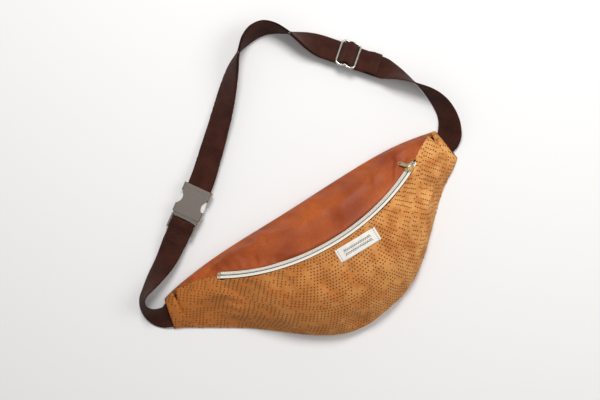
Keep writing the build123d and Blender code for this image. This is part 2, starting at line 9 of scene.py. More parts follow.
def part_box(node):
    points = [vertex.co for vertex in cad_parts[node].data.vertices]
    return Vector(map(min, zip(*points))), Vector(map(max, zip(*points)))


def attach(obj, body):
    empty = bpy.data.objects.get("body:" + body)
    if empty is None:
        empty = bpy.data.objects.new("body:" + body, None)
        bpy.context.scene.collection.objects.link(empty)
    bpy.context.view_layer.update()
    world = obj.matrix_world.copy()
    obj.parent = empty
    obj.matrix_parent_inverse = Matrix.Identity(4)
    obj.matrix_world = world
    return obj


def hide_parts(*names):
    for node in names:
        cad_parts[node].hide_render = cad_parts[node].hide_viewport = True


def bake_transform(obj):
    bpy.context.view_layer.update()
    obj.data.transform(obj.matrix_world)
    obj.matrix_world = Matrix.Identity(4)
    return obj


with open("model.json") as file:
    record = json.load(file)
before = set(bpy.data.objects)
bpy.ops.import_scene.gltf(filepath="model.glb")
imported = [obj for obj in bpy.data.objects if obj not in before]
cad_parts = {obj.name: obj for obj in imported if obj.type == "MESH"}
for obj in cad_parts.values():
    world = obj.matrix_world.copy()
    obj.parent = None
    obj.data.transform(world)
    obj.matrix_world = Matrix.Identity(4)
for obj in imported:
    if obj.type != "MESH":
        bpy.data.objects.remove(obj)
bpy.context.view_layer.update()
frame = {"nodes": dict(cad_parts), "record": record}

MM = 0.001
BAG = "bag_and_belt"
joints = {joint["name"]: joint for joint in frame["record"]["behaviour"]["joints"]}


# ---- Small tools ------------------------------------------------------------------------------
# Kinds of node used more than once
MATH = "ShaderNodeMath"
VECTOR = "ShaderNodeVectorMath"
NOISE = "ShaderNodeTexNoise"
CELLS = "ShaderNodeTexVoronoi"
RAMP = "ShaderNodeMapRange"
BUMP = "ShaderNodeBump"
MIX = "ShaderNodeMix"
A, B = 6, 7                # the mix's two colours among its inputs
AIM = "FunctionNodeAlignRotationToVector"
LOGIC = "FunctionNodeBooleanMath"
READ = "GeometryNodeInputNamedAttribute"
STORE = "GeometryNodeStoreNamedAttribute"
PLACE = "GeometryNodeSetPosition"
TRANSFORM = "GeometryNodeTransform"
INSTANCE = "GeometryNodeInstanceOnPoints"


def colour(code):
    """Linear colour from sRGB hex."""
    parts = [int(code[i:i + 2], 16) / 255 for i in (1, 3, 5)]
    return (*[p / 12.92 if p <= 0.04045 else ((p + 0.055) / 1.055) ** 2.4 for p in parts], 1.0)


def add_node(tree, kind, values=None, **settings):
    """A node of that kind, with its settings, and each input set or linked."""
    made = tree.nodes.new(kind)
    for name, value in settings.items():
        setattr(made, name, value)
    for socket, value in (values or {}).items():
        if isinstance(value, bpy.types.NodeSocket):
            tree.links.new(value, made.inputs[socket])
        else:
            made.inputs[socket].default_value = value
    return made


def new_material(name):
    """An empty material's tree and its Principled shader."""
    material = bpy.data.materials.new(name)
    material.use_nodes = True
    shader = material.node_tree.nodes["Principled BSDF"]
    return material, material.node_tree, shader


def new_mesh(name, points, faces, flat=None):
    """A smooth-shaded object in place; flat gives each point's place on the flat cloth, metres."""
    mesh = bpy.data.meshes.new(name)
    mesh.from_pydata([tuple(p) for p in points], [], faces)
    mesh.validate()
    if flat is not None:
        layer = mesh.attributes.new("flat", "FLOAT_VECTOR", "POINT")
        for item, place in zip(layer.data, flat):
            item.vector = (place[0], place[1], 0.0)
    made = bpy.data.objects.new(name, mesh)
    bpy.context.scene.collection.objects.link(made)
    for polygon in mesh.polygons:
        polygon.use_smooth = True
    return made


def grid_faces(columns, rows, flip=False, start=0):
    """Faces of a grid of points held column by column, each column with rows + 1 of them."""
    faces = []
    for i in range(columns):
        for r in range(rows):
            a = start + i * (rows + 1) + r
            face = [a, a + rows + 1, a + rows + 2, a + 1]
            faces.append(face[::-1] if flip else face)
    return faces


def settle(obj):
    """Turns an object's modifiers into plain mesh."""
    graph = bpy.context.evaluated_depsgraph_get()
    mesh = bpy.data.meshes.new_from_object(obj.evaluated_get(graph), depsgraph=graph)
    obj.modifiers.clear()
    obj.data = mesh
    return obj


def finish_piece(obj, body, material, nodes=()):
    """Gives a piece its finish and its body; given (body, body, start, end) instead of one body, it
    only bakes the piece's place in and gives it no body.
    """
    obj.data.materials.clear()
    obj.data.materials.append(material)
    if isinstance(body, str):
        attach(obj, body)
    else:
        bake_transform(obj)
    if nodes:
        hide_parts(*nodes)
    return obj


# ---- Materials --------------------------------------------------------------------------------
def aniline_cowhide():
    """Drum-dyed aniline cowhide with a light, waxy finish: even colour, with painted shade in the
    grain's hollows.
    """
    material, tree, shader = new_material("aniline_cowhide")
    place = add_node(tree, "ShaderNodeTexCoord").outputs["Object"]
    clouds = add_node(tree, NOISE, {"Vector": place, "Scale": 26, "Detail": 4}).outputs["Fac"]
    pores = add_node(tree, CELLS, {"Vector": place, "Scale": 900}).outputs["Distance"]
    grain = add_node(tree, CELLS, {"Vector": place, "Scale": 420}).outputs["Distance"]
    tone = add_node(tree, RAMP, {"Value": clouds, "From Min": 0.35, "From Max": 0.68}).outputs[0]
    dyed = {"Factor": tone, A: colour("#8F3A0C"), B: colour("#B25517")}
    base = add_node(tree, MIX, dyed, data_type="RGBA").outputs[2]
    # Painted shade: darker where the grain's bump sinks
    grain_shade_range = {"Value": grain, "From Min": 0.0, "From Max": 0.6, "To Min": 0.25, "To Max": 0.0}
    grain_shade = add_node(tree, RAMP, grain_shade_range).outputs[0]
    grain_shade_mix = {"Factor": grain_shade, A: base, B: colour("#652508")}
    shade = add_node(tree, MIX, grain_shade_mix, data_type="RGBA").outputs[2]
    tree.links.new(shade, shader.inputs["Base Color"])
    gloss = {"Value": clouds, "From Min": 0.3, "From Max": 0.7, "To Min": 0.52, "To Max": 0.64}
    tree.links.new(add_node(tree, RAMP, gloss).outputs[0], shader.inputs["Roughness"])
    fine = add_node(tree, BUMP, {"Height": pores, "Distance": 0.00008, "Strength": 0.7}).outputs[0]
    coarse = {"Height": grain, "Distance": 0.00018, "Strength": 0.6, "Normal": fine}
    tree.links.new(add_node(tree, BUMP, coarse).outputs[0], shader.inputs["Normal"])
    shader.inputs["IOR"].default_value = 1.4
    return material


def split_suede(name, light, middle, dark):
    """Cow split, napped: a short brushed pile that scatters light and holds hand marks."""
    material, tree, shader = new_material(name)
    place = add_node(tree, "ShaderNodeTexCoord").outputs["Object"]
    along = add_node(tree, "ShaderNodeSeparateXYZ", {"Vector": place}).outputs["X"]
    marks = add_node(tree, NOISE, {"Vector": place, "Scale": 70, "Detail": 6}).outputs["Fac"]
    nap = add_node(tree, NOISE, {"Vector": place, "Scale": 1600, "Detail": 2}).outputs["Fac"]
    # Darker at the bag's left end, lighter towards its right end
    tone_share = add_node(tree, RAMP, {"Value": along, "From Min": -0.15, "From Max": 0.16}).outputs[0]
    base = add_node(tree, MIX, {"Factor": tone_share, A: dark, B: light}, data_type="RGBA").outputs[2]
    brushed = {"Value": marks, "From Min": 0.38, "From Max": 0.64, "To Min": 0.85, "To Max": 0.1}
    way = add_node(tree, RAMP, brushed).outputs[0]
    worn = add_node(tree, MIX, {"Factor": way, A: base, B: middle}, data_type="RGBA").outputs[2]
    # Painted shade: darker where the nap's bump sinks, down in the pile
    depth = {"Value": nap, "From Min": 0.35, "From Max": 0.7, "To Min": 0.28, "To Max": 0.0}
    pile = add_node(tree, RAMP, depth).outputs[0]
    nap_shaded = add_node(tree, MIX, {"Factor": pile, A: worn, B: dark}, data_type="RGBA").outputs[2]
    tree.links.new(nap_shaded, shader.inputs["Base Color"])
    shader.inputs["Roughness"].default_value = 0.92
    shader.inputs["IOR"].default_value = 1.45
    shader.inputs["Sheen Weight"].default_value = 0.35
    shader.inputs["Sheen Roughness"].default_value = 0.5
    shader.inputs["Sheen Tint"].default_value = light
    raised = add_node(tree, BUMP, {"Height": nap, "Distance": 0.00025, "Strength": 0.8}).outputs[0]
    tree.links.new(raised, shader.inputs["Normal"])
    return material


def cotton_webbing():
    """Cotton webbing, rib woven: warp ribs along it that the weft pinches every few picks."""
    material, tree, shader = new_material("cotton_webbing")
    flat = add_node(tree, "ShaderNodeAttribute", attribute_name="flat").outputs["Vector"]
    parts = add_node(tree, "ShaderNodeSeparateXYZ", {"Vector": flat}).outputs
    waves = []
    for axis, thread in (("Y", 0.0016), ("X", 0.0013)):
        turns = {0: parts[axis], 1: 2 * math.pi / thread}
        turn = add_node(tree, MATH, turns, operation="MULTIPLY").outputs[0]
        waves.append(add_node(tree, MATH, {0: turn}, operation="SINE").outputs[0])
    weave = add_node(tree, MATH, {0: waves[0], 1: waves[1]}, operation="MULTIPLY").outputs[0]
    fibres = add_node(tree, NOISE, {"Vector": flat, "Scale": 700, "Detail": 3}).outputs["Fac"]
    wear = add_node(tree, NOISE, {"Vector": flat, "Scale": 60, "Detail": 3}).outputs["Fac"]
    tone_share = add_node(tree, RAMP, {"Value": wear, "From Min": 0.35, "From Max": 0.65}).outputs[0]
    dyed = {"Factor": tone_share, A: colour("#3A1A11"), B: colour("#50281B")}
    base = add_node(tree, MIX, dyed, data_type="RGBA").outputs[2]
    # Painted shade: near-black where the weave's bump sinks, between its threads
    weave_shade_range = {"Value": weave, "From Min": -0.6, "From Max": 0.9, "To Min": 0.55, "To Max": 0.0}
    gaps = {"Factor": add_node(tree, RAMP, weave_shade_range).outputs[0], A: base, B: colour("#1C0C08")}
    woven = add_node(tree, MIX, gaps, data_type="RGBA").outputs[2]
    loose = {"Value": fibres, "From Min": 0.5, "From Max": 0.75, "To Min": 0.0, "To Max": 0.5}
    fuzz = {"Factor": add_node(tree, RAMP, loose).outputs[0], A: woven, B: colour("#5A342C")}
    fuzzy = add_node(tree, MIX, fuzz, data_type="RGBA").outputs[2]
    tree.links.new(fuzzy, shader.inputs["Base Color"])
    shader.inputs["Roughness"].default_value = 0.9
    shader.inputs["IOR"].default_value = 1.25
    shader.inputs["Sheen Weight"].default_value = 0.06
    shader.inputs["Sheen Roughness"].default_value = 0.4
    rough = add_node(tree, BUMP, {"Height": fibres, "Distance": 0.0002, "Strength": 0.5}).outputs[0]
    threads = {"Height": weave, "Distance": 0.0003, "Strength": 0.8, "Normal": rough}
    tree.links.new(add_node(tree, BUMP, threads).outputs[0], shader.inputs["Normal"])
    return material


def plain_cloth(name, warp, weft, pitch):
    """Plain-woven cloth: two threads over and under at that pitch."""
    material, tree, shader = new_material(name)
    flat = add_node(tree, "ShaderNodeAttribute", attribute_name="flat").outputs["Vector"]
    parts = add_node(tree, "ShaderNodeSeparateXYZ", {"Vector": flat}).outputs
    waves = []
    for axis in ("X", "Y"):
        turns = {0: parts[axis], 1: math.pi / pitch}
        turn = add_node(tree, MATH, turns, operation="MULTIPLY").outputs[0]
        waves.append(add_node(tree, MATH, {0: turn}, operation="SINE").outputs[0])
    weave = add_node(tree, MATH, {0: waves[0], 1: waves[1]}, operation="MULTIPLY").outputs[0]
    over = add_node(tree, RAMP, {"Value": weave, "From Min": -0.7, "From Max": 0.7}).outputs[0]
    shade = add_node(tree, MIX, {"Factor": over, A: weft, B: warp}, data_type="RGBA").outputs[2]
    tree.links.new(shade, shader.inputs["Base Color"])
    shader.inputs["Roughness"].default_value = 0.85
    shader.inputs["IOR"].default_value = 1.5
    threads = add_node(tree, BUMP, {"Height": weave, "Distance": 0.00012, "Strength": 0.7}).outputs[0]
    tree.links.new(threads, shader.inputs["Normal"])
    return material


def cast_metal(name, light, dark, roughness, mottling):
    """Die-cast or drawn metal with a tumbled, plated face: uneven tone and gloss."""
    material, tree, shader = new_material(name)
    place = add_node(tree, "ShaderNodeTexCoord").outputs["Object"]
    patches = add_node(tree, NOISE, {"Vector": place, "Scale": 240, "Detail": 5}).outputs["Fac"]
    grit = add_node(tree, NOISE, {"Vector": place, "Scale": 2400, "Detail": 2}).outputs["Fac"]
    spread = {"Value": patches, "From Min": 0.5 - mottling, "From Max": 0.5 + mottling}
    tone = add_node(tree, RAMP, spread).outputs[0]
    shade = add_node(tree, MIX, {"Factor": tone, A: dark, B: light}, data_type="RGBA").outputs[2]
    tree.links.new(shade, shader.inputs["Base Color"])
    shader.inputs["Metallic"].default_value = 1.0
    gloss = {"Value": patches, "From Min": 0.3, "From Max": 0.7,
             "To Min": roughness + 0.08, "To Max": roughness - 0.06}
    tree.links.new(add_node(tree, RAMP, gloss).outputs[0], shader.inputs["Roughness"])
    pitted = add_node(tree, BUMP, {"Height": grit, "Distance": 0.00003, "Strength": 0.5}).outputs[0]
    tree.links.new(pitted, shader.inputs["Normal"])
    return material


def plain_finish(name, code, roughness):
    """Thread, nylon or the painted shade inside a punched hole: one colour, no pattern of its own."""
    material, _, shader = new_material(name)
    shader.inputs["Base Color"].default_value = colour(code)
    shader.inputs["Roughness"].default_value = roughness
    shader.inputs["IOR"].default_value = 1.5
    return material


cowhide = aniline_cowhide()
front_suede = split_suede("split_suede", colour("#EFB269"), colour("#B4692A"), colour("#AC6222"))
# Painted shade: a darker copy of the same suede for the back panel, down by the floor
shaded_back_suede = split_suede("split_suede_back_painted_shade", colour("#AC6A30"), colour("#9C5E2A"), colour("#80461C"))
webbing = cotton_webbing()
lining_cloth = plain_cloth("polyester_lining", colour("#2C2320"), colour("#1C1614"), 0.0006)
tape_cloth = plain_cloth("polyester_zip_tape", colour("#F1EDE4"), colour("#D9D2C6"), 0.0009)
label_cloth = plain_cloth("damask_label", colour("#F4F0E8"), colour("#DDD6CA"), 0.0008)
zinc = cast_metal("antiqued_zinc", colour("#ACA299"), colour("#8A8077"), 0.34, 0.3)
bright_zinc = cast_metal("polished_zinc", colour("#F8F6F2"), colour("#ECE8E2"), 0.5, 0.3)
nickel = cast_metal("nickel_plated_wire", colour("#E4E0D8"), colour("#CFC9BF"), 0.22, 0.3)
gold = cast_metal("pale_gold_plate", colour("#F3E3C0"), colour("#E6CF9E"), 0.24, 0.3)
spring_wire = cast_metal("spring_steel", colour("#B9B9BA"), colour("#8F8F92"), 0.3, 0.25)
nylon = plain_finish("nylon_coil", "#E9E3D7", 0.45)
brown_thread = plain_finish("brown_thread", "#2E1712", 0.7)
# Painted shade inside each punched hole, laid over the suede as a dark disc
hole_shade_paint = plain_finish("painted_hole_shade", "#5A3012", 0.95)


# ---- Bag --------------------------------------------------------------------------------------
def tree_of(*names):
    """Ray-casting tree over CAD nodes, and which node each of its faces belongs to."""
    points, faces, owners = [], [], []
    for name in names:
        mesh = frame["nodes"][name].data
        start = len(points)
        points += [v.co.copy() for v in mesh.vertices]
        for polygon in mesh.polygons:
            faces.append([start + i for i in polygon.vertices])
            owners.append(name)
    return BVHTree.FromPolygons(points, faces), owners


back_tree, _ = tree_of("back_panel")
shell_tree, shell_owner = tree_of("front_panel", "top_panel")
back_low, back_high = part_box("back_panel")
back_top = back_high[2]

COLUMNS = 120
END_INSET = 1.5 * MM
FRONT_ROWS = 44
TOP_ROWS = 20
SIDE_REACH = 0.3
SLOTS_FROM = 0.145
LEFT_SHEAR = ((-0.171, 0.0075), (-0.139, 0.005), (-0.105, 0.0))
RIGHT_SHEAR = ((0.112, 0.0), (0.1465, -0.0035), (0.1705, -0.0055))


def shear_at(x):
    """How far a column's upper end lies along the bag from its lower end."""
    table = LEFT_SHEAR if x < 0 else RIGHT_SHEAR
    if x <= table[0][0]:
        return table[0][1]
    for (x0, s0), (x1, s1) in zip(table, table[1:]):
        if x <= x1:
            return s0 + (s1 - s0) * (x - x0) / (x1 - x0)
    return table[-1][1]


def edge_of_back(x, side):
    """Where the back panel's outline is at x, on its lower (-1) or upper (1) side."""
    hit = back_tree.ray_cast(Vector((x, side * SIDE_REACH, 0.5 * back_top)), Vector((0, -side, 0)))[0]
    return hit


def column_frame(x):
    """A column's middle, its direction from lower to upper edge, and both edges."""
    lower = edge_of_back(x, -1)
    upper = edge_of_back(x + shear_at(x), 1)
    lower.z = upper.z = back_top
    return 0.5 * (lower + upper), (upper - lower).normalized(), lower, upper


def outer_hit(middle, across, angle):
    """First outer face met from outside at that angle round the column's middle."""
    way = across * -math.cos(angle) + Vector((0, 0, 1)) * math.sin(angle)
    place, normal, index, _ = shell_tree.ray_cast(middle + way * SIDE_REACH, -way)
    if place is None or normal.dot(way) < 0.02:
        return None, None
    return place, shell_owner[index]


def last_angle(middle, across, name, start, stop):
    """The angle nearest stop at which the ray from outside still meets that node."""
    good = start
    for step in range(1, 121):
        angle = start + (stop - start) * step / 120
        if outer_hit(middle, across, angle)[1] != name:
            if outer_hit(middle, across, angle + (stop - start) / 240)[1] != name:
                break
        else:
            good = angle
    low, high = good, good + (stop - start) / 120
    for _ in range(12):
        half = 0.5 * (low + high)
        if outer_hit(middle, across, half)[1] == name:
            low = half
        else:
            high = half
    return low


def without_dents(places, across, side):
    """A column's points with the slot that the belt's end lies in bridged straight over."""
    kept = []
    for place in places:
        while len(kept) > 1:
            before, after = kept[-1] - kept[-2], place - kept[-1]
            if side * (before.dot(across) * after.z - before.z * after.dot(across)) < 0:
                break
            kept.pop()
        kept.append(place)
    return kept


def panel_grid(name, rows, start_angle, stop_angle, first_edge, inset):
    """Rows of points over one panel, column by column, evenly spaced by length."""
    x_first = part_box(name)[0][0] + inset
    x_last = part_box(name)[1][0] - inset
    grid = []
    for i in range(COLUMNS + 1):
        x = x_first + (x_last - x_first) * i / COLUMNS
        middle, across, lower, upper = column_frame(x)
        edge = last_angle(middle, across, name, start_angle, stop_angle)
        fine = []
        for k in range(161):
            angle = start_angle + (edge - start_angle) * k / 160
            place, owner = outer_hit(middle, across, angle)
            if place is not None and owner == name:
                fine.append(place)
        fine.insert(0, lower if first_edge == "lower" else upper)
        if abs(x) > SLOTS_FROM:
            fine = without_dents(fine, across, 1 if first_edge == "lower" else -1)
        if len(fine) == 1:
            fine.append(fine[0] + Vector((0, 0, 0.2 * MM)))
        lengths = [0.0]
        for a, b in zip(fine, fine[1:]):
            lengths.append(lengths[-1] + (b - a).length)
        column, k = [], 0
        for row in range(rows + 1):
            want = lengths[-1] * row / rows
            while k < len(lengths) - 2 and lengths[k + 1] < want:
                k += 1
            gap = lengths[k + 1] - lengths[k]
            share = 0.0 if gap < 1e-9 else (want - lengths[k]) / gap
            column.append(fine[k].lerp(fine[k + 1], min(max(share, 0.0), 1.0)))
        grid.append((column, lengths[-1]))
    return grid


MOST_MOVED = 2.6 * MM
SETTLED = 20               # moments that the cloth is given to fill
CLOTH = {
    "quality": 6, "mass": 0.25, "tension_stiffness": 40, "compression_stiffness": 40,
    "shear_stiffness": 20, "vertex_group_mass": "seams", "use_pressure": True,
}


def puff(obj, pinned, slack, pressure, bending):
    """Lets a panel fill and wrinkle as cloth, held along its seams."""
    start = [v.co.copy() for v in obj.data.vertices]
    seams = obj.vertex_groups.new(name="seams")
    seams.add(pinned, 1.0, "REPLACE")
    cloth = obj.modifiers.new("cloth", "CLOTH")
    for key, value in CLOTH.items():
        setattr(cloth.settings, key, value)
    cloth.settings.bending_stiffness = bending
    cloth.settings.shrink_min = slack
    cloth.settings.uniform_pressure_force = pressure
    cloth.settings.effector_weights.gravity = 0.0
    cloth.collision_settings.use_collision = False
    cloth.point_cache.frame_start = 1
    cloth.point_cache.frame_end = SETTLED
    for moment in range(1, SETTLED + 1):
        bpy.context.scene.frame_set(moment)
    settle(obj)
    bpy.context.scene.frame_set(1)
    for vertex, place in zip(obj.data.vertices, start):
        moved = vertex.co - place
        if moved.length > MOST_MOVED:
            vertex.co = place + moved.normalized() * MOST_MOVED


FOLD = 0.8 * MM            # radius of a turned edge
FOLD_STEPS = 4
SKIN = 1.1 * MM


def panel(name, grid, flip, slack, pressure, bending):
    """A panel's skin: filled as cloth, its seam edge turned under, then given its thickness."""
    rows = len(grid[0][0])
    points, flat = [], []
    for column, length in grid:
        for r, place in enumerate(column):
            points.append(place)
            flat.append((place.x, length * r / (rows - 1)))
    last = len(grid) - 1
    obj = new_mesh(name, points, grid_faces(last, rows - 1, flip), flat)
    pinned = [i * rows + r for i in range(len(grid)) for r in range(rows)
              if i in (0, last) or r in (0, rows - 1)]
    puff(obj, pinned, slack, pressure, bending)
    # The edge along the seam rolls over and under
    places = [v.co.copy() for v in obj.data.vertices]
    normals = [v.normal.copy() for v in obj.data.vertices]
    points, flat = [], []
    for i, (column, length) in enumerate(grid):
        base = i * rows
        for r in range(rows):
            points.append(places[base + r])
            flat.append((places[base + r].x, length * r / (rows - 1)))
        edge = places[base + rows - 1]
        normal = normals[base + rows - 1]
        out = edge - places[base + rows - 2]
        out = (out - normal * out.dot(normal)).normalized()
        for step in range(1, FOLD_STEPS + 1):
            turn = math.pi * step / FOLD_STEPS
            points.append(edge + out * FOLD * math.sin(turn) - normal * FOLD * (1 - math.cos(turn)))
            flat.append((edge.x, length + FOLD * turn))
    full = rows + FOLD_STEPS
    bpy.data.objects.remove(obj)
    obj = new_mesh(name, points, grid_faces(last, full - 1, flip), flat)
    smooth = obj.modifiers.new("smooth", "SUBSURF")
    smooth.levels = smooth.render_levels = 1
    outer_face = settle(obj).data.copy()
    skin = obj.modifiers.new("skin", "SOLIDIFY")
    skin.thickness = SKIN
    skin.offset = -1
    return settle(obj), outer_face


front_grid = panel_grid("front_panel", FRONT_ROWS, 0.01, math.pi - 0.02, "lower", END_INSET)
top_grid = panel_grid("top_panel", TOP_ROWS, math.pi - 0.01, 0.02, "upper", 1 * MM)
front, front_face = panel("perforated_front", front_grid, False, -0.015, 3.0, 6.0)
top, _ = panel("leather_top", top_grid, True, -0.022, 3.0, 8.0)
finish_piece(front, BAG, front_suede, ("front_panel",))
finish_piece(top, BAG, cowhide, ("top_panel",))


def sheet_between(name, grids, drop):
    """Cloth that follows the panels at that depth under their faces."""
    points, faces, flat = [], [], []
    for grid, flip in grids:
        rows = len(grid[0][0])
        start = len(points)
        for column, length in grid:
            for r, place in enumerate(column):
                points.append(place)
                flat.append((place.x, length * r / (rows - 1)))
        faces += grid_faces(len(grid) - 1, rows - 1, flip, start)
    obj = new_mesh(name, points, faces, flat)
    normals = [v.normal.copy() for v in obj.data.vertices]
    for vertex, normal in zip(obj.data.vertices, normals):
        vertex.co -= normal * drop
        vertex.co.z = max(vertex.co.z, back_top + LINING_CLEAR)
    skin = obj.modifiers.new("skin", "SOLIDIFY")
    skin.thickness = LINING_THICK
    return settle(obj)


LINING_CLEAR = 0.6 * MM    # over the bag's back
LINING_THICK = 0.4 * MM
LINING_DEPTH = 5.0 * MM    # under the panels' faces
inside = slice(10, -10)    # the lining stops short of the bag's sewn ends
lined = ((front_grid[inside], False), (top_grid[inside], True))
lining = sheet_between("lining", lined, LINING_DEPTH)
finish_piece(lining, BAG, lining_cloth, ("lining_front",))


def flat_panel(name, inset, top, thickness, soften):
    """A panel cut to the bag's outline and laid flat."""
    first, last = back_low[0] + TIP_INSET, back_high[0] - TIP_INSET
    rows = 16
    points, flat = [], []
    for i in range(COLUMNS + 1):
        middle, across, lower, upper = column_frame(first + (last - first) * i / COLUMNS)
        half = 0.5 * (upper - lower).length - inset
        for r in range(rows + 1):
            place = middle + across * half * (2 * r / rows - 1)
            points.append((place.x, place.y, top))
            flat.append((place.x, place.y))
    obj = new_mesh(name, points, grid_faces(COLUMNS, rows), flat)
    skin = obj.modifiers.new("skin", "SOLIDIFY")
    skin.thickness = thickness
    skin.offset = -1
    if soften:
        rim = obj.modifiers.new("rim", "BEVEL")
        rim.width = soften
        rim.segments = 3
    return settle(obj)


TIP_INSET = 0.3 * MM
BACK_ROUNDING = 0.7 * MM
BACK_LINING_INSET = 5 * MM
BACK_LINING_TOP = back_top + 0.45 * MM
back = flat_panel("back", 0.0, back_top, back_top, BACK_ROUNDING)
finish_piece(back, BAG, shaded_back_suede, ("back_panel",))
back_lining = flat_panel("back_lining", BACK_LINING_INSET, BACK_LINING_TOP, LINING_THICK, 0)
finish_piece(back_lining, BAG, lining_cloth, ("lining_back",))


# ---- Rows of small things, made by Geometry Nodes ----------------------------------------------
def finish_tree(tree, instances, material):
    """The end of a tree: its instances made real, given their material and put out."""
    made = add_node(tree, "GeometryNodeRealizeInstances", {"Geometry": instances}).outputs[0]
    finish = {"Geometry": made, "Material": material}
    coloured = add_node(tree, "GeometryNodeSetMaterial", finish).outputs[0]
    add_node(tree, "NodeGroupOutput", {"Geometry": coloured})


def row_tree():
    """Small rounded bars, one after another along a line: stitches, or a zip's teeth."""
    tree = bpy.data.node_groups.new("row_along_a_line", "GeometryNodeTree")
    face = tree.interface
    face.new_socket("Line", in_out="INPUT", socket_type="NodeSocketGeometry")
    face.new_socket("Pitch", in_out="INPUT", socket_type="NodeSocketFloat")
    face.new_socket("Size", in_out="INPUT", socket_type="NodeSocketVector")
    face.new_socket("Up", in_out="INPUT", socket_type="NodeSocketVector")
    face.new_socket("Material", in_out="INPUT", socket_type="NodeSocketMaterial")
    face.new_socket("Geometry", in_out="OUTPUT", socket_type="NodeSocketGeometry")
    given = add_node(tree, "NodeGroupInput").outputs
    spacing = {"Curve": given["Line"], "Length": given["Pitch"]}
    spaced = add_node(tree, "GeometryNodeResampleCurve", spacing, mode="LENGTH").outputs["Curve"]
    points = add_node(tree, "GeometryNodeCurveToPoints", {"Curve": spaced}, mode="EVALUATED").outputs
    round_bar = {"Segments": 8, "Rings": 6, "Radius": 0.5}
    ball = add_node(tree, "GeometryNodeMeshUVSphere", round_bar).outputs["Mesh"]
    shaped = add_node(tree, TRANSFORM, {"Geometry": ball, "Scale": given["Size"]}).outputs[0]
    along = add_node(tree, AIM, {"Vector": points["Tangent"]}, axis="X").outputs[0]
    turned = {"Rotation": along, "Vector": given["Up"]}
    upright = add_node(tree, AIM, turned, axis="Z", pivot_axis="X").outputs[0]
    set_out = {"Points": points["Points"], "Instance": shaped, "Rotation": upright}
    finish_tree(tree, add_node(tree, INSTANCE, set_out).outputs[0], given["Material"])
    return tree


def input_key(tree, name):
    """The modifier's key for one of the tree's inputs."""
    for item in tree.interface.items_tree:
        if item.name == name and item.in_out == "INPUT":
            return item.identifier
    raise KeyError(name)


ROW_TREE = row_tree()


def row_along(name, lines, pitch, size, up, material, body, nodes=()):
    """Rows of bars along lines of points."""
    path = bpy.data.curves.new(name, "CURVE")
    path.dimensions = "3D"
    for line in lines:
        spline = path.splines.new("POLY")
        spline.points.add(len(line) - 1)
        for point, place in zip(spline.points, line):
            point.co = (*place, 1.0)
    line_object = bpy.data.objects.new(name + "_line", path)
    bpy.context.scene.collection.objects.link(line_object)
    row = line_object.modifiers.new("row", "NODES")
    row.node_group = ROW_TREE
    for key, value in (("Pitch", pitch), ("Size", size), ("Up", up), ("Material", material)):
        row[input_key(ROW_TREE, key)] = value
    graph = bpy.context.evaluated_depsgraph_get()
    mesh = bpy.data.meshes.new_from_object(line_object.evaluated_get(graph), depsgraph=graph)
    bpy.data.objects.remove(line_object)
    made = bpy.data.objects.new(name, mesh)
    bpy.context.scene.collection.objects.link(made)
    for polygon in mesh.polygons:
        polygon.use_smooth = True
    return finish_piece(made, body, material, nodes)


# ---- Perforations ------------------------------------------------------------------------------
STRAY_SCALE = 300.0
STRAY = 0.0012
PROUD = (0.0, 0.0, 0.00007)    # the holes' discs, painted shade, lie this far off the suede
